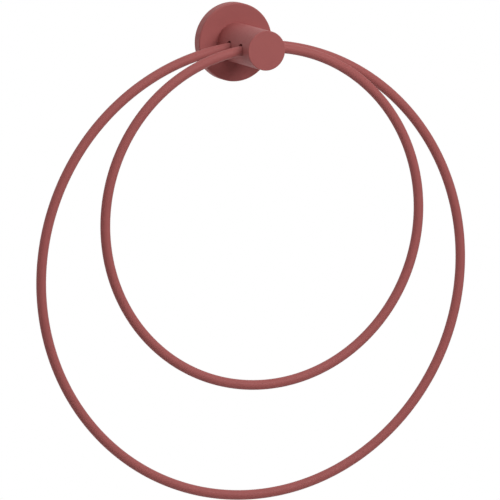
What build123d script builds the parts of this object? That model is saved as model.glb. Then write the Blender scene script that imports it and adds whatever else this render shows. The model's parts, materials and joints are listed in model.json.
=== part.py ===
from build123d import *
import math
import os

# Wall-mounted towel holder: a round rosette, a straight post and two closed rings that hang loose in it.
# The wall is the plane Y = 0, the holder stands out from it towards -Y, and +Z is up.
# The origin is where the post's axis meets the wall. All sizes are in millimetres.

# Rosette, the hollow round cover against the wall
rosette_dia = 50.0
rosette_depth = 8.0
rosette_rim = 3.5           # thickness of its outer wall
rosette_edge = 1.0          # rounding of the front edge

# Post, a turned bar that stands on the rosette
post_dia = 25.0
post_length = 50.0
post_edge = 0.4             # rounding of the free end

# Rings of round rod, and the cross holes that they hang in
rod_dia = 6.2
rod_clearance = 1.3         # how much wider the hole is than the rod
rod_seat_gap = 0.15         # room under the rod where it lies on the hole's ends
ring_hole_edge = 0.3        # rounding of the holes' mouths
first_hole = 18.5           # from the rosette's front to the rear hole
hole_pitch = 18.5           # from the rear hole to the front hole
large_ring_dia = 288.0      # through the middle of the rod
small_ring_dia = 214.0      # through the middle of the rod

# Wall plate, screwed to the wall inside the rosette
plate_thickness = 4.0
plate_headroom = 1.5        # free space between the plate and the rosette's front
plate_play = 0.3            # all round, inside the rosette's rim
groove_depth = 1.2          # square-cornered V groove round the plate's edge
groove_land = 0.4           # strip of the edge that is left in front of the groove
wall_hole_spacing = 27.0
wall_hole_dia = 4.5
wall_head_dia = 8.4         # 90 degree countersink at the plate's front

# Post screw, a button-head machine screw with a hex socket
post_screw_dia = 6.0
post_screw_length = 10.0    # under the head
post_screw_point = 0.6      # chamfer of its tip
post_head_dia = 10.5
post_head_height = 3.3
post_head_round = 1.6
post_head_room = 0.75       # between the head and the plate's middle hole
post_socket_flats = 4.0
post_socket_depth = 2.0
post_thread_room = 1.0      # tapped hole past the screw's tip
drill_point_angle = 118.0

# Grub screw, a socket set screw with a 90 degree point, in the underside of the rosette
grub_dia = 3.0
grub_sink = 0.2             # below the rim's surface
grub_point_gap = 0.15       # along the screw, between its cone and the groove's sides
grub_tip_dia = 0.6
grub_socket_flats = 1.5
grub_socket_depth = 1.6

screw_clearance = 0.2       # clearance hole over the screw's diameter
thread_gap = 0.1            # tapped hole over the screw's diameter, the thread itself left out
cut_past = 1.0              # how far a cut runs past the face that it opens

# Sizes that follow from those above
rosette_r = rosette_dia / 2
post_r = post_dia / 2
rod_r = rod_dia / 2
ring_hole_r = (rod_dia + rod_clearance) / 2
rear_hole = rosette_depth + first_hole
front_hole = rear_hole + hole_pitch
cavity_r = rosette_r - rosette_rim
cavity_depth = plate_thickness + plate_headroom
plate_r = cavity_r - plate_play
groove_height = plate_thickness - groove_land - groove_depth
groove_floor_r = plate_r - groove_depth
post_screw_r = post_screw_dia / 2
grub_r = grub_dia / 2


def turned(*outline):
    """A solid turned about the post's axis from points (radius, distance from the wall)."""
    points = [(radius, -distance) for radius, distance in outline]
    return revolve(make_face(Polyline(*points, close=True)), Axis.Y)


def front_edge(solid):
    """The widest round edge of a turned solid's front face."""
    circles = solid.edges().filter_by(GeomType.CIRCLE)
    return circles.group_by(Axis.Y)[0].sort_by(SortBy.RADIUS)[-1]


def hex_socket(plane, across_flats, depth):
    """The space of a hex socket that goes into the screw along the plane's normal."""
    return extrude(plane * RegularPolygon(across_flats / 2, 6, major_radius=False), depth)


def make_rosette():
    bore_r = (post_screw_dia + screw_clearance) / 2
    cup = turned(
        (bore_r, cavity_depth),
        (cavity_r, cavity_depth),
        (cavity_r, 0),
        (rosette_r, 0),
        (rosette_r, rosette_depth),
        (bore_r, rosette_depth),
    )
    cup = fillet(front_edge(cup), rosette_edge)
    grub_hole = Cylinder((grub_dia + thread_gap) / 2, 2 * (rosette_rim + cut_past))
    return cup - Pos(0, -groove_height, -rosette_r) * grub_hole


def make_post():
    foot = rosette_depth
    end = rosette_depth + post_length
    bar = turned((0, foot), (post_r, foot), (post_r, end), (0, end))
    bar = fillet(front_edge(bar), post_edge)
    for distance in (rear_hole, front_hole):
        drill = Pos(0, -distance, 0) * Rot(0, 90, 0) * Cylinder(ring_hole_r, post_dia + 2 * cut_past)
        drilled = bar - drill
        bar = fillet(new_edges(bar, drill, combined=drilled), ring_hole_edge)
    tap_r = (post_screw_dia + thread_gap) / 2
    tap_end = cavity_depth + post_screw_length + post_thread_room
    drill_tip = tap_end + tap_r / math.tan(math.radians(drill_point_angle / 2))
    return bar - turned((0, foot - cut_past), (tap_r, foot - cut_past), (tap_r, tap_end), (0, drill_tip))


def make_post_screw():
    top = cavity_depth - post_head_height
    tip = cavity_depth + post_screw_length
    head_r = post_head_dia / 2
    head = turned((0, top), (head_r, top), (head_r, cavity_depth), (0, cavity_depth))
    crown = head.edges().filter_by(GeomType.CIRCLE).group_by(Axis.Y)[-1]
    head = fillet(crown, post_head_round)
    shank = turned(
        (0, cavity_depth),
        (post_screw_r, cavity_depth),
        (post_screw_r, tip - post_screw_point),
        (post_screw_r - post_screw_point, tip),
        (0, tip),
    )
    return head + shank - hex_socket(Plane.XZ.offset(top), post_socket_flats, post_socket_depth)


def make_wall_plate():
    middle_r = post_head_dia / 2 + post_head_room
    plate = turned(
        (middle_r, 0),
        (plate_r, 0),
        (plate_r, groove_height - groove_depth),
        (groove_floor_r, groove_height),
        (plate_r, groove_height + groove_depth),
        (plate_r, plate_thickness),
        (middle_r, plate_thickness),
    )
    hole_r = wall_hole_dia / 2
    head_r = wall_head_dia / 2
    sink_start = plate_thickness - (head_r - hole_r)
    screw_space = turned(
        (0, -cut_past),
        (hole_r, -cut_past),
        (hole_r, sink_start),
        (head_r + cut_past, plate_thickness + cut_past),
        (0, plate_thickness + cut_past),
    )
    for side in (-1, 1):
        plate -= Pos(side * wall_hole_spacing / 2, 0, 0) * screw_space
    return plate


def make_grub_screw():
    socket_end = -(rosette_r - grub_sink)
    tip_r = grub_tip_dia / 2
    tip = -(groove_floor_r + grub_point_gap + tip_r)
    point = grub_r - tip_r
    upward = (Align.CENTER, Align.CENTER, Align.MIN)
    body = Pos(0, 0, socket_end) * Cylinder(grub_r, tip - point - socket_end, align=upward)
    body += Pos(0, 0, tip - point) * Cone(grub_r, tip_r, point, align=upward)
    body -= hex_socket(Plane.XY.offset(socket_end), grub_socket_flats, grub_socket_depth)
    return Pos(0, -groove_height, 0) * body


def make_ring(ring_dia, hole_distance):
    """A closed ring that lies on the two ends of its hole's floor, hanging plumb."""
    ring_r = ring_dia / 2
    inner_r = ring_r - rod_r
    floor_half = math.sqrt(post_r**2 - ring_hole_r**2) - ring_hole_edge
    drop = inner_r - math.sqrt(inner_r**2 - floor_half**2)
    underside = drop + rod_seat_gap - ring_hole_r
    return Pos(0, -hole_distance, underside - inner_r) * Rot(90, 0, 0) * Torus(ring_r, rod_r)


nodes = {
    "wall_plate": make_wall_plate(),
    "rosette": make_rosette(),
    "grub_screw": make_grub_screw(),
    "post": make_post(),
    "post_screw": make_post_screw(),
    "large_ring": make_ring(large_ring_dia, rear_hole),
    "small_ring": make_ring(small_ring_dia, front_hole),
}

os.makedirs("parts", exist_ok=True)
for name, solid in nodes.items():
    export_step(solid, f"parts/{name}.step")
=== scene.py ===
import json
import math

import bmesh
import bpy
from mathutils import Matrix, Vector


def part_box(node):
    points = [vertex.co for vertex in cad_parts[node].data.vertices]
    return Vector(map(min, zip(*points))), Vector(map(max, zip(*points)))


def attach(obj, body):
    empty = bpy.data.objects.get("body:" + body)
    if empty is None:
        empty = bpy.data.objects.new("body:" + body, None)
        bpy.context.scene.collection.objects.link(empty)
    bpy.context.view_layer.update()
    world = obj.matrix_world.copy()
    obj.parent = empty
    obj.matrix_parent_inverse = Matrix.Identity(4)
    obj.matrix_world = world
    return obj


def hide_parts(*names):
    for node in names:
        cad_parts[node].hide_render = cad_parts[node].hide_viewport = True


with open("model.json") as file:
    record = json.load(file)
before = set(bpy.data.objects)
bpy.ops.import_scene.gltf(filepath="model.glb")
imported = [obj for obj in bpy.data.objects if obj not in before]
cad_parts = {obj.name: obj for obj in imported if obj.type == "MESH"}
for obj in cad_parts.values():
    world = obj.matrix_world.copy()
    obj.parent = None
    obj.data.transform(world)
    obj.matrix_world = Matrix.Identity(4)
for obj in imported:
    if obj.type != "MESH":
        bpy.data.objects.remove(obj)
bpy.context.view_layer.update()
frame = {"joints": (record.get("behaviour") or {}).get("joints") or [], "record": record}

# Wall plate: the round steel disc that two screws hold to the wall, inside the rosette.
# Zinc-plated steel, turned on a lathe, with a V groove round its edge for the point of the grub screw.
# Drawn as a half section with broken corners, spun round the post's axis, then drilled and countersunk.
mm = 0.001
# Here and below, outer sizes and the places of holes come from the frame, and other sizes are given in mm.
plate_low, plate_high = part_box("wall_plate")
plate_radius = plate_high.x
plate_thickness = -plate_low.y
plate_middle_radius = 6.0 * mm
plate_edge = 0.25 * mm
groove_edge = 0.15 * mm
groove_depth = 1.2 * mm
groove_land = 0.4 * mm
groove_height = plate_thickness - groove_land - groove_depth
mounts = {mount["name"]: mount for mount in frame["record"]["mounts"]}
wall_screws = mounts["wall_screws"]["dims"]
wall_hole_offset = wall_screws["spacing_x_mm"] * mm / 2
wall_hole_radius = wall_screws["hole_r_mm"] * mm
wall_head_radius = 4.2 * mm
cut_past = 1.0 * mm
lathe_steps = 128
drill_steps = 64
plate_sharp_angle = 35
merge_distance = 0.001 * mm
sliver = 0.004 * mm


def draw_section(name, points):
    """Draws a line through points (radius, distance from the wall) and stays in edit mode."""
    bpy.ops.object.select_all(action="DESELECT")
    bpy.ops.mesh.primitive_plane_add()
    piece = bpy.context.object
    piece.name = name
    piece.data.name = name
    bpy.ops.object.mode_set(mode="EDIT")
    bpy.ops.mesh.select_all(action="SELECT")
    bpy.ops.mesh.merge(type="CENTER")
    pen = Vector((points[0][0], -points[0][1], 0))
    bpy.ops.transform.translate(value=pen)
    for radius, distance in points[1:]:
        stroke = Vector((radius, -distance, 0)) - pen
        bpy.ops.mesh.extrude_vertices_move(TRANSFORM_OT_translate={"value": stroke})
        pen += stroke
    return piece


def round_corners(piece, points, size, steps):
    """Rounds the section's corners at these points (radius, distance from the wall)."""
    places = [Vector((radius, -distance, 0)) for radius, distance in points]
    close_by = 0.01 * mm
    bpy.ops.mesh.select_all(action="DESELECT")
    shape = bmesh.from_edit_mesh(piece.data)
    for vertex in shape.verts:
        vertex.select_set(any((vertex.co - spot).length < close_by for spot in places))
    shape.select_flush(True)
    bmesh.update_edit_mesh(piece.data)
    bpy.ops.mesh.bevel(offset=size, segments=steps, affect="VERTICES", clamp_overlap=False)


def spin_closed(steps, middle):
    """Spins what is selected round an axis along Y, closes it and leaves edit mode."""
    bpy.ops.mesh.spin(steps=steps, angle=math.tau, center=middle, axis=(0, 1, 0))
    bpy.ops.mesh.select_all(action="SELECT")
    bpy.ops.mesh.remove_doubles(threshold=merge_distance)
    bpy.ops.mesh.normals_make_consistent(inside=False)
    bpy.ops.object.mode_set(mode="OBJECT")


def turn(steps):
    """Turns the section in edit mode round the post's axis, as on a lathe."""
    bpy.ops.mesh.select_all(action="SELECT")
    spin_closed(steps, middle=(0, 0, 0))


def pick(piece):
    """Selects one piece alone and makes it the active one."""
    bpy.ops.object.select_all(action="DESELECT")
    piece.select_set(True)
    bpy.context.view_layer.objects.active = piece


def place(piece, offset=(0, 0, 0), turned=(0, 0, 0)):
    """Turns and moves a piece, then leaves its object at the origin with its place in the mesh."""
    pick(piece)
    piece.location = offset
    piece.rotation_euler = turned
    bpy.ops.object.transform_apply(location=True, rotation=True, scale=True)


def combine(piece, tool, operation):
    """Cuts a piece with a tool, joins the two or keeps what they share, and throws the tool away."""
    pick(piece)
    step = piece.modifiers.new("combine", "BOOLEAN")
    step.operation = operation
    step.object = tool
    step.solver = "EXACT"
    bpy.ops.object.modifier_apply(modifier=step.name)
    bpy.data.objects.remove(tool, do_unlink=True)
    bpy.ops.object.mode_set(mode="EDIT")
    bpy.ops.mesh.select_all(action="SELECT")
    bpy.ops.mesh.remove_doubles(threshold=sliver)
    bpy.ops.mesh.dissolve_degenerate(threshold=sliver)
    bpy.ops.object.mode_set(mode="OBJECT")


def smooth_edges(piece, angle):
    """Shades round faces smooth and keeps flat faces flat up to their rounded edges."""
    pick(piece)
    bpy.ops.object.shade_smooth_by_angle(angle=math.radians(angle))
    step = piece.modifiers.new("flat faces", "WEIGHTED_NORMAL")
    step.keep_sharp = True
    bpy.ops.object.modifier_apply(modifier=step.name)


groove_back = groove_height - groove_depth
groove_front = groove_height + groove_depth
plate_corners = [
    (plate_middle_radius, 0),
    (plate_radius, 0),
    (plate_radius, groove_back),
    (plate_radius - groove_depth, groove_height),
    (plate_radius, groove_front),
    (plate_radius, plate_thickness),
    (plate_middle_radius, plate_thickness),
]
wall_plate = draw_section("wall_plate_turned", plate_corners + plate_corners[:1])
round_corners(wall_plate, [plate_corners[i] for i in (1, 6)], plate_edge, steps=3)
round_corners(wall_plate, [plate_corners[i] for i in (2, 4, 5)], groove_edge, steps=2)
turn(lathe_steps)
# Half a step of turn brings the screw holes midway between two edges of the lathe work.
place(wall_plate, turned=(0, math.pi / lathe_steps, 0))

sink_start = plate_thickness - (wall_head_radius - wall_hole_radius)
for side in (-1, 1):
    screw_space = draw_section("screw_space", [
        (0, -cut_past),
        (wall_hole_radius, -cut_past),
        (wall_hole_radius, sink_start),
        (wall_head_radius + cut_past, plate_thickness + cut_past),
        (0, plate_thickness + cut_past),
    ])
    turn(drill_steps)
    place(screw_space, offset=(side * wall_hole_offset, 0, 0))
    combine(wall_plate, screw_space, "DIFFERENCE")
smooth_edges(wall_plate, plate_sharp_angle)

zinc_light = (0.66, 0.67, 0.68, 1)
zinc_dull = (0.52, 0.53, 0.55, 1)
noise_low = 0.3
noise_high = 0.7


def new_material(name):
    """An empty node material with one Principled shader, and a link to the piece's own coordinates."""
    material = bpy.data.materials.new(name)
    material.use_nodes = True
    nodes = material.node_tree.nodes
    nodes.clear()
    shader = nodes.new("ShaderNodeBsdfPrincipled")
    output = nodes.new("ShaderNodeOutputMaterial")
    material.node_tree.links.new(shader.outputs["BSDF"], output.inputs["Surface"])
    place_on_piece = nodes.new("ShaderNodeTexCoord").outputs["Object"]
    return material, shader, place_on_piece


def cloud(material, place_on_piece, scale, detail):
    """A noise value over the piece, with features of about 1 / scale metres."""
    noise = material.node_tree.nodes.new("ShaderNodeTexNoise")
    noise.inputs["Scale"].default_value = scale
    noise.inputs["Detail"].default_value = detail
    material.node_tree.links.new(place_on_piece, noise.inputs["Vector"])
    return noise.outputs["Fac"]


def spread(material, value, low, high, socket):
    """Maps a noise value to a range of numbers on a socket."""
    scale = material.node_tree.nodes.new("ShaderNodeMapRange")
    scale.inputs["From Min"].default_value = noise_low
    scale.inputs["From Max"].default_value = noise_high
    scale.inputs["To Min"].default_value = low
    scale.inputs["To Max"].default_value = high
    material.node_tree.links.new(value, scale.inputs["Value"])
    material.node_tree.links.new(scale.outputs["Result"], socket)


def blend_colours(material, value, first, second, socket):
    """Runs a noise value from one colour to another on a socket."""
    ramp = material.node_tree.nodes.new("ShaderNodeValToRGB")
    ramp.color_ramp.elements[0].position = noise_low
    ramp.color_ramp.elements[0].color = first
    ramp.color_ramp.elements[1].position = noise_high
    ramp.color_ramp.elements[1].color = second
    material.node_tree.links.new(value, ramp.inputs["Fac"])
    material.node_tree.links.new(ramp.outputs["Color"], socket)


def emboss(material, value, height, strength, shader):
    """Lets a value between 0 and 1 raise the surface by up to height."""
    bump = material.node_tree.nodes.new("ShaderNodeBump")
    bump.inputs["Strength"].default_value = strength
    bump.inputs["Distance"].default_value = height
    material.node_tree.links.new(value, bump.inputs["Height"])
    material.node_tree.links.new(bump.outputs["Normal"], shader.inputs["Normal"])


zinc, zinc_shader, zinc_place = new_material("zinc_plated_steel")
zinc_shader.inputs["Metallic"].default_value = 1.0
blotches = cloud(zinc, zinc_place, scale=220, detail=4)
blend_colours(zinc, blotches, zinc_dull, zinc_light, zinc_shader.inputs["Base Color"])
spread(zinc, blotches, low=0.46, high=0.34, socket=zinc_shader.inputs["Roughness"])
lathe_marks = zinc.node_tree.nodes.new("ShaderNodeTexWave")
lathe_marks.wave_type = "RINGS"
lathe_marks.rings_direction = "Y"
lathe_marks.inputs["Scale"].default_value = 600
lathe_marks.inputs["Distortion"].default_value = 0.6
lathe_marks.inputs["Detail"].default_value = 2
zinc.node_tree.links.new(zinc_place, lathe_marks.inputs["Vector"])
emboss(zinc, lathe_marks.outputs["Fac"], height=0.03 * mm, strength=0.6, shader=zinc_shader)

wall_plate.data.materials.append(zinc)
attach(wall_plate, "bracket")
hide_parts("wall_plate")

# Rosette: the hollow round cover that hides the wall plate.
# Turned metal with a matte powder coat in dusty red, its front edge softly rounded.
# Spun from its half section, then drilled through the underside of the rim for the grub screw.
rosette_low, rosette_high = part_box("rosette")
rosette_radius = rosette_high.x
rosette_depth = -rosette_low.y
rosette_edge = 1.0 * mm
rim_thickness = 3.5 * mm
rim_edge = 0.3 * mm
plate_headroom = 1.5 * mm
cavity_radius = rosette_radius - rim_thickness
cavity_depth = plate_thickness + plate_headroom
screw_bore_radius = 3.1 * mm
grub_hole_radius = 1.55 * mm
grub_hole_edge = 0.2 * mm
rosette_sharp_angle = 35
edge_reach = 0.02 * mm

rosette_corners = [
    (screw_bore_radius, cavity_depth),
    (cavity_radius, cavity_depth),
    (cavity_radius, 0),
    (rosette_radius, 0),
    (rosette_radius, rosette_depth),
    (screw_bore_radius, rosette_depth),
]
rosette = draw_section("rosette_turned", rosette_corners + rosette_corners[:1])
round_corners(rosette, [rosette_corners[4]], rosette_edge, steps=8)
round_corners(rosette, [rosette_corners[i] for i in (1, 2, 3)], rim_edge, steps=3)
turn(lathe_steps)
bpy.ops.object.select_all(action="DESELECT")
bpy.ops.mesh.primitive_cylinder_add(
    vertices=drill_steps,
    radius=grub_hole_radius,
    depth=2 * (rim_thickness + cut_past),
    location=(0, -groove_height, -rosette_radius),
)
combine(rosette, bpy.context.object, "DIFFERENCE")


def break_edges(piece, on_edge, size, steps):
    """Rounds the edges of a piece that lie wholly where on_edge says."""
    bpy.ops.object.mode_set(mode="EDIT")
    bpy.ops.mesh.select_all(action="SELECT")
    bpy.ops.mesh.remove_doubles(threshold=edge_reach)
    bpy.ops.mesh.select_all(action="DESELECT")
    shape = bmesh.from_edit_mesh(piece.data)
    for edge in shape.edges:
        edge.select_set(all(on_edge(vertex.co) for vertex in edge.verts))
    bmesh.update_edit_mesh(piece.data)
    bpy.ops.mesh.bevel(offset=size, segments=steps, affect="EDGES", clamp_overlap=False, loop_slide=False)
    bpy.ops.object.mode_set(mode="OBJECT")


def on_grub_hole_mouth(spot):
    """Whether a spot lies where the grub screw's hole comes out under the rosette."""
    rim_middle = rosette_radius - rim_thickness / 2
    from_hole_axis = math.hypot(spot.x, spot.y + groove_height)
    return spot.z < -rim_middle and abs(from_hole_axis - grub_hole_radius) < edge_reach


break_edges(rosette, on_grub_hole_mouth, grub_hole_edge, steps=2)
smooth_edges(rosette, rosette_sharp_angle)

paint_light = (0.388, 0.1025, 0.0975, 1)
paint_deep = (0.372, 0.0985, 0.0935, 1)
red_paint, paint_shader, paint_place = new_material("red_powder_coat")
paint_shader.inputs["Specular IOR Level"].default_value = 0.3
shade_drift = cloud(red_paint, paint_place, scale=70, detail=3)
blend_colours(red_paint, shade_drift, paint_deep, paint_light, paint_shader.inputs["Base Color"])
gloss_drift = cloud(red_paint, paint_place, scale=420, detail=3)
spread(red_paint, gloss_drift, low=0.54, high=0.64, socket=paint_shader.inputs["Roughness"])
orange_peel = cloud(red_paint, paint_place, scale=700, detail=1)
emboss(red_paint, orange_peel, height=0.04 * mm, strength=0.6, shader=paint_shader)

rosette.data.materials.append(red_paint)
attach(rosette, "bracket")
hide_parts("rosette")

# Post: the plain round bar that stands out of the rosette, with one cross hole for each ring.
# Turned metal in the same powder coat, flat at its free end, with a tapped blind hole in its foot.
# Spun from its half section, then cross-drilled, and the mouths of the holes are broken by hand.
post_low, post_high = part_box("post")
post_radius = post_high.x
post_end = -post_low.y
post_edge = 0.4 * mm
ring_hole_radius = 3.75 * mm
ring_hole_edge = 0.3 * mm
hinges = {joint["name"]: Vector(joint["pos_m"]) for joint in frame["joints"]}
rear_hole = -hinges["large_ring_swing"].y
front_hole = -hinges["small_ring_swing"].y
tap_radius = 3.05 * mm
tap_end = 16.5 * mm
drill_point_angle = math.radians(118)
drill_tip = tap_end + tap_radius / math.tan(drill_point_angle / 2)
post_steps = 120
post_sharp_angle = 40

post = draw_section("post_turned", [
    (0, rosette_depth),
    (post_radius, rosette_depth),
    (post_radius, post_end),
    (0, post_end),
])
round_corners(post, [(post_radius, post_end)], post_edge, steps=4)
turn(post_steps)
# Half a step of turn brings the ring holes midway between two edges of the lathe work.
place(post, turned=(0, math.pi / post_steps, 0))
tapped_hole = draw_section("tapped_hole", [
    (0, rosette_depth - cut_past),
    (tap_radius, rosette_depth - cut_past),
    (tap_radius, tap_end),
    (0, drill_tip),
])
turn(drill_steps)
combine(post, tapped_hole, "DIFFERENCE")
for distance in (rear_hole, front_hole):
    bpy.ops.object.select_all(action="DESELECT")
    bpy.ops.mesh.primitive_cylinder_add(
        vertices=drill_steps,
        radius=ring_hole_radius,
        depth=2 * (post_radius + cut_past),
        location=(0, -distance, 0),
        rotation=(0, math.pi / 2, 0),
    )
    combine(post, bpy.context.object, "DIFFERENCE")


def on_ring_hole_mouth(spot):
    """Whether a spot lies where a ring's hole comes out of the post's side."""
    from_post_axis = math.hypot(spot.x, spot.z)
    from_hole_axis = min(math.hypot(spot.y + hole, spot.z) for hole in (rear_hole, front_hole))
    on_side = abs(from_post_axis - post_radius) < edge_reach
    on_hole = abs(from_hole_axis - ring_hole_radius) < edge_reach
    return on_side and on_hole


break_edges(post, on_ring_hole_mouth, ring_hole_edge, steps=4)
smooth_edges(post, post_sharp_angle)
post.data.materials.append(red_paint)
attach(post, "bracket")
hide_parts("post")

# Post screw: the button-head screw that draws the post against the rosette from behind.
# Plain stainless steel, with a rolled thread and a hex socket.
# The head is spun from its half section, the thread wound from the profile of one turn, and the two joined.
post_screw_low, post_screw_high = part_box("post_screw")
post_screw_radius = 3.0 * mm
post_screw_pitch = 1.0 * mm
post_screw_tip = -post_screw_low.y
post_screw_point = 0.6 * mm
post_head_radius = post_screw_high.x
post_head_top = -post_screw_high.y
post_head_round = 1.6 * mm
post_head_edge = 0.2 * mm
post_socket_flats = 4.0 * mm
post_socket_depth = 2.0 * mm
screw_steps = 48
screw_sharp_angle = 32
overlap = 0.3 * mm


def wind_thread(name, radius, pitch, start, end):
    """A right-hand thread between two distances from the wall, closed by a flat cut at each end."""
    thread_depth = 0.6 * pitch
    root = radius - thread_depth
    flat = pitch / 8
    crest = (pitch - flat) / 2
    spare_turns = 2
    exact = 1e-8
    thread = draw_section(name, [
        (root, 0),
        (root, flat),
        (radius, crest),
        (radius, crest + flat),
        (root, pitch - flat),
        (root, pitch),
    ])
    bpy.ops.object.mode_set(mode="OBJECT")
    winding = thread.modifiers.new("winding", "SCREW")
    winding.axis = "Y"
    winding.screw_offset = pitch
    winding.iterations = math.ceil((end - start) / pitch) + spare_turns
    winding.steps = screw_steps
    winding.render_steps = screw_steps
    bpy.ops.object.modifier_apply(modifier=winding.name)
    place(thread, offset=(0, -end - pitch, 0))
    bpy.ops.object.mode_set(mode="EDIT")
    bpy.ops.mesh.select_all(action="SELECT")
    bpy.ops.mesh.remove_doubles(threshold=merge_distance)
    bpy.ops.mesh.bisect(
        plane_co=(0, -start, 0), plane_no=(0, 1, 0), use_fill=True, clear_outer=True, threshold=exact
    )
    bpy.ops.mesh.select_all(action="SELECT")
    bpy.ops.mesh.bisect(
        plane_co=(0, -end, 0), plane_no=(0, 1, 0), use_fill=True, clear_inner=True, threshold=exact
    )
    bpy.ops.mesh.select_all(action="SELECT")
    bpy.ops.mesh.normals_make_consistent(inside=False)
    bpy.ops.object.mode_set(mode="OBJECT")
    return thread


def press_socket(screw, flats, face, bottom):
    """Sinks a hex socket along the post's axis, between two distances from the wall."""
    depth = abs(face - bottom)
    corner_radius = flats / 2 / math.cos(math.pi / 6)
    bpy.ops.object.select_all(action="DESELECT")
    bpy.ops.mesh.primitive_cylinder_add(
        vertices=6,
        radius=corner_radius,
        depth=2 * depth,
        location=(0, -face, 0),
        rotation=(math.pi / 2, 0, 0),
    )
    combine(screw, bpy.context.object, "DIFFERENCE")


def straighten_edges(screw):
    """Takes out the vertices where only two edges meet, which leave flaps when faces become triangles."""
    bpy.ops.object.mode_set(mode="EDIT")
    bpy.ops.mesh.select_all(action="DESELECT")
    shape = bmesh.from_edit_mesh(screw.data)
    for vertex in shape.verts:
        vertex.select_set(len(vertex.link_edges) == 2)
    bmesh.update_edit_mesh(screw.data)
    bpy.ops.mesh.dissolve_verts()
    bpy.ops.object.mode_set(mode="OBJECT")


post_screw = wind_thread(
    "post_screw_threaded",
    post_screw_radius,
    post_screw_pitch,
    start=cavity_depth - 2 * overlap,
    end=post_screw_tip + overlap,
)
screw_blank = draw_section("screw_blank", [
    (0, cavity_depth - overlap),
    (post_screw_radius + overlap, cavity_depth - overlap),
    (post_screw_radius + overlap, post_screw_tip - post_screw_point - overlap),
    (post_screw_radius - post_screw_point, post_screw_tip),
    (0, post_screw_tip),
])
turn(screw_steps)
combine(post_screw, screw_blank, "INTERSECT")
screw_head = draw_section("screw_head", [
    (0, post_head_top),
    (post_head_radius, post_head_top),
    (post_head_radius, cavity_depth),
    (0, cavity_depth),
])
round_corners(screw_head, [(post_head_radius, post_head_top)], post_head_round, steps=8)
round_corners(screw_head, [(post_head_radius, cavity_depth)], post_head_edge, steps=2)
turn(2 * screw_steps)
combine(post_screw, screw_head, "UNION")
press_socket(post_screw, post_socket_flats, post_head_top, post_head_top + post_socket_depth)
straighten_edges(post_screw)
smooth_edges(post_screw, screw_sharp_angle)

stainless_light = (0.56, 0.555, 0.545, 1)
stainless_dull = (0.44, 0.44, 0.44, 1)
stainless, stainless_shader, stainless_place = new_material("stainless_steel")
stainless_shader.inputs["Metallic"].default_value = 1.0
handling = cloud(stainless, stainless_place, scale=500, detail=4)
blend_colours(stainless, handling, stainless_dull, stainless_light, stainless_shader.inputs["Base Color"])
spread(stainless, handling, low=0.38, high=0.26, socket=stainless_shader.inputs["Roughness"])
tool_marks = cloud(stainless, stainless_place, scale=4000, detail=2)
emboss(stainless, tool_marks, height=0.01 * mm, strength=0.3, shader=stainless_shader)

post_screw.data.materials.append(stainless)
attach(post_screw, "bracket")
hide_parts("post_screw")

# Large and small ring: two closed hoops of round rod that hang loose in the post's cross holes.
# Steel rod bent round, welded shut and ground flush, in the same powder coat.
# A circle of the rod's size is set at the top of each hoop and spun round the hoop's middle.
rod_radius = 3.1 * mm
rod_steps = 40
rod_seat_gap = 0.15 * mm
hole_floor_half = math.sqrt(post_radius**2 - ring_hole_radius**2) - ring_hole_edge
large_ring_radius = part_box("large_ring")[1].x - rod_radius
small_ring_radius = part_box("small_ring")[1].x - rod_radius


def bend_ring(name, ring_radius, distance, steps):
    """A hoop that hangs plumb at a distance from the wall, its rod on the two ends of its hole's floor."""
    chord_height = math.sqrt((ring_radius - rod_radius) ** 2 - hole_floor_half**2)
    middle = rod_seat_gap - ring_hole_radius - chord_height
    bpy.ops.object.select_all(action="DESELECT")
    bpy.ops.mesh.primitive_circle_add(
        vertices=rod_steps,
        radius=rod_radius,
        location=(0, -distance, middle + ring_radius),
        rotation=(0, math.pi / 2, 0),
    )
    ring = bpy.context.object
    ring.name = name
    ring.data.name = name
    place(ring, offset=ring.location.copy(), turned=ring.rotation_euler.copy())
    bpy.ops.object.mode_set(mode="EDIT")
    bpy.ops.mesh.select_all(action="SELECT")
    spin_closed(steps, middle=(0, -distance, middle))
    bpy.ops.object.shade_smooth()
    ring.data.materials.append(red_paint)
    return ring


large_ring = bend_ring("large_ring_hoop", large_ring_radius, rear_hole, steps=320)
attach(large_ring, "large_ring")
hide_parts("large_ring")
small_ring = bend_ring("small_ring_hoop", small_ring_radius, front_hole, steps=256)
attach(small_ring, "small_ring")
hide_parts("small_ring")

# Grub screw: the small set screw in the underside of the rosette that locks it on the wall plate.
# Plain stainless steel, threaded all along, with a hex socket below and a cone point in the plate's groove.
# Made along the post's axis like the post screw, then stood upright in its hole.
grub_low, grub_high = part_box("grub_screw")
grub_radius = grub_high.x
grub_pitch = 0.5 * mm
grub_end = -grub_low.z
grub_tip = -grub_high.z
grub_tip_radius = 0.3 * mm
grub_edge = 0.2 * mm
grub_socket_flats = 1.5 * mm
grub_socket_depth = 1.6 * mm

grub_screw = wind_thread(
    "grub_screw_threaded",
    grub_radius,
    grub_pitch,
    start=grub_tip - overlap,
    end=grub_end + overlap,
)
grub_blank = draw_section("grub_blank", [
    (0, grub_tip),
    (grub_tip_radius, grub_tip),
    (grub_radius + overlap, grub_tip + grub_radius + overlap - grub_tip_radius),
    (grub_radius + overlap, grub_end - grub_edge - overlap),
    (grub_radius - grub_edge, grub_end),
    (0, grub_end),
])
turn(screw_steps)
combine(grub_screw, grub_blank, "INTERSECT")
press_socket(grub_screw, grub_socket_flats, grub_end, grub_end - grub_socket_depth)
place(grub_screw, offset=(0, -groove_height, 0), turned=(math.pi / 2, 0, 0))
straighten_edges(grub_screw)
smooth_edges(grub_screw, screw_sharp_angle)
grub_screw.data.materials.append(stainless)
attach(grub_screw, "bracket")
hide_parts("grub_screw")

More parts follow.
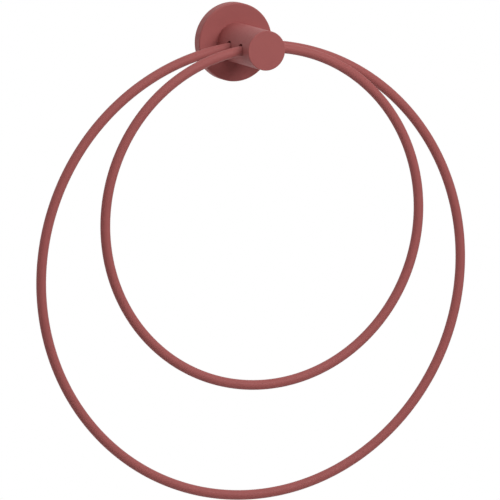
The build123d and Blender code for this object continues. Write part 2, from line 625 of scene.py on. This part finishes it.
# Floor and background: a plain pale floor well below the holder, white further off, like all round it.
# In reflections the surroundings are white behind the holder, while the room in front of it is dark.
# The floor shows from above only, so that the underside of the holder can be looked at.
floor_height = -1.2
floor_size = 24.0
floor_colour = (0.85, 0.85, 0.85, 1)
white = (1, 1, 1, 1)
shadow_reach = 0.5
white_reach = 1.0
sweep_start = -0.4
sweep_end = 0.2
room_reflection = 0.03
sweep_light = 0.65
soft_edge = 0.15

bpy.ops.object.select_all(action="DESELECT")
bpy.ops.mesh.primitive_plane_add(size=floor_size, location=(0, 0, floor_height))
floor = bpy.context.object
floor.name = "studio_floor"


def front_to_back(tree, coordinates, start, end, front, back):
    """A value that runs from front to back along the Y of some coordinates."""
    axes = tree.nodes.new("ShaderNodeSeparateXYZ")
    tree.links.new(coordinates, axes.inputs["Vector"])
    run = tree.nodes.new("ShaderNodeMapRange")
    run.inputs["From Min"].default_value = start
    run.inputs["From Max"].default_value = end
    run.inputs["To Min"].default_value = front
    run.inputs["To Max"].default_value = back
    tree.links.new(axes.outputs["Y"], run.inputs["Value"])
    return run.outputs["Result"]


def mix_shaders(tree, factor, first, second):
    """Mixes two shaders by a factor."""
    mix = tree.nodes.new("ShaderNodeMixShader")
    tree.links.new(factor, mix.inputs["Fac"])
    tree.links.new(first, mix.inputs[1])
    tree.links.new(second, mix.inputs[2])
    return mix.outputs["Shader"]


floor_paint = bpy.data.materials.new("floor_paint")
floor_paint.use_nodes = True
tree = floor_paint.node_tree
tree.nodes.clear()
ray = tree.nodes.new("ShaderNodeLightPath")
on_floor = tree.nodes.new("ShaderNodeTexCoord").outputs["Object"]
board = tree.nodes.new("ShaderNodeBsdfDiffuse")
board.inputs["Color"].default_value = floor_colour
white_floor = tree.nodes.new("ShaderNodeEmission")
from_holder = tree.nodes.new("ShaderNodeVectorMath")
from_holder.operation = "LENGTH"
tree.links.new(on_floor, from_holder.inputs[0])
fade = tree.nodes.new("ShaderNodeMapRange")
fade.interpolation_type = "SMOOTHSTEP"
fade.inputs["From Min"].default_value = shadow_reach
fade.inputs["From Max"].default_value = white_reach
tree.links.new(from_holder.outputs["Value"], fade.inputs["Value"])
seen_far = tree.nodes.new("ShaderNodeMath")
seen_far.operation = "MULTIPLY"
tree.links.new(ray.outputs["Is Camera Ray"], seen_far.inputs[0])
tree.links.new(fade.outputs["Result"], seen_far.inputs[1])
floor_shader = mix_shaders(
    tree, seen_far.outputs["Value"], board.outputs["BSDF"], white_floor.outputs["Emission"]
)
mirrored_floor = tree.nodes.new("ShaderNodeEmission")
floor_level = front_to_back(tree, on_floor, sweep_start, sweep_end, front=room_reflection, back=1)
tree.links.new(floor_level, mirrored_floor.inputs["Strength"])
floor_shader = mix_shaders(
    tree, ray.outputs["Is Glossy Ray"], floor_shader, mirrored_floor.outputs["Emission"]
)
from_below = tree.nodes.new("ShaderNodeNewGeometry").outputs["Backfacing"]
see_through = tree.nodes.new("ShaderNodeBsdfTransparent")
floor_shader = mix_shaders(tree, from_below, floor_shader, see_through.outputs["BSDF"])
output = tree.nodes.new("ShaderNodeOutputMaterial")
tree.links.new(floor_shader, output.inputs["Surface"])
# The floor's white is for the camera and for reflections, so it isn't sampled as a lamp.
floor_paint.cycles.emission_sampling = "NONE"
floor.data.materials.append(floor_paint)

world = bpy.data.worlds.new("studio")
bpy.context.scene.world = world
world.use_nodes = True
tree = world.node_tree
tree.nodes.clear()
ray = tree.nodes.new("ShaderNodeLightPath")
direction = tree.nodes.new("ShaderNodeTexCoord").outputs["Generated"]
lit_sweep = tree.nodes.new("ShaderNodeBackground")
lit_sweep.inputs["Color"].default_value = white
lit_level = front_to_back(tree, direction, -soft_edge, soft_edge, front=0, back=sweep_light)
tree.links.new(lit_level, lit_sweep.inputs["Strength"])
mirrored_sweep = tree.nodes.new("ShaderNodeBackground")
mirrored_sweep.inputs["Color"].default_value = white
mirrored_level = front_to_back(tree, direction, -soft_edge, soft_edge, front=room_reflection, back=1)
tree.links.new(mirrored_level, mirrored_sweep.inputs["Strength"])
white_sweep = tree.nodes.new("ShaderNodeBackground")
white_sweep.inputs["Color"].default_value = white
surroundings = mix_shaders(
    tree,
    ray.outputs["Is Glossy Ray"],
    lit_sweep.outputs["Background"],
    mirrored_sweep.outputs["Background"],
)
seen = tree.nodes.new("ShaderNodeMath")
seen.operation = "MAXIMUM"
tree.links.new(ray.outputs["Is Camera Ray"], seen.inputs[0])
tree.links.new(ray.outputs["Is Transmission Ray"], seen.inputs[1])
surroundings = mix_shaders(tree, seen.outputs["Value"], surroundings, white_sweep.outputs["Background"])
output = tree.nodes.new("ShaderNodeOutputWorld")
tree.links.new(surroundings, output.inputs["Surface"])

# Lights: a softbox in front of the holder, above it and to the right, and a weaker one high up on the left.
# They stand far enough off to light the whole holder evenly, at a level that shows a colour about as it is.
holder_middle = Vector((0, -0.03, -0.13))
light_distance = 2.4
# The power at which a white card that faces one light at this distance comes out white.
full_light = math.pi**2 * light_distance**2


def direction_to(azimuth, elevation):
    """The direction of something seen from the holder, in degrees to the right of its front and upwards."""
    around = math.radians(azimuth)
    above = math.radians(elevation)
    return Vector((
        math.sin(around) * math.cos(above),
        -math.cos(around) * math.cos(above),
        math.sin(above),
    ))


def softbox(name, azimuth, elevation, size, level):
    """A soft light aimed at the middle of the holder, where a level of about 1 shows a colour as it is."""
    away = direction_to(azimuth, elevation)
    bpy.ops.object.light_add(type="AREA", location=holder_middle + away * light_distance)
    light = bpy.context.object
    light.name = name
    light.rotation_euler = away.to_track_quat("Z", "Y").to_euler()
    light.data.shape = "SQUARE"
    light.data.size = size
    light.data.energy = full_light * level
    light.visible_camera = False


softbox("right_softbox", azimuth=25, elevation=30, size=1.2, level=0.62)
softbox("high_softbox", azimuth=-25, elevation=58, size=1.2, level=0.29)

# Camera: a long lens to the left of the holder and a little above it, as in the photograph.
# The picture is square and the lens is given for a 36 mm wide sensor.
view_azimuth = -22.60
view_elevation = 9.51
view_roll = -1.71
view_distance = 3.5756
view_target = Vector((0.00873, 0, -0.1351))
lens = 403.68
sensor = 36

toward_camera = direction_to(view_azimuth, view_elevation)
bpy.ops.object.camera_add()
camera = bpy.context.object
camera.name = "photo_camera"
camera.data.lens = lens
camera.data.sensor_width = sensor
standing = Matrix.Translation(view_target + toward_camera * view_distance)
facing = toward_camera.to_track_quat("Z", "Y").to_matrix().to_4x4()
rolled = Matrix.Rotation(math.radians(view_roll), 4, "Z")
camera.matrix_world = standing @ facing @ rolled
bpy.context.scene.camera = camera
bpy.context.scene.view_settings.view_transform = "Standard"
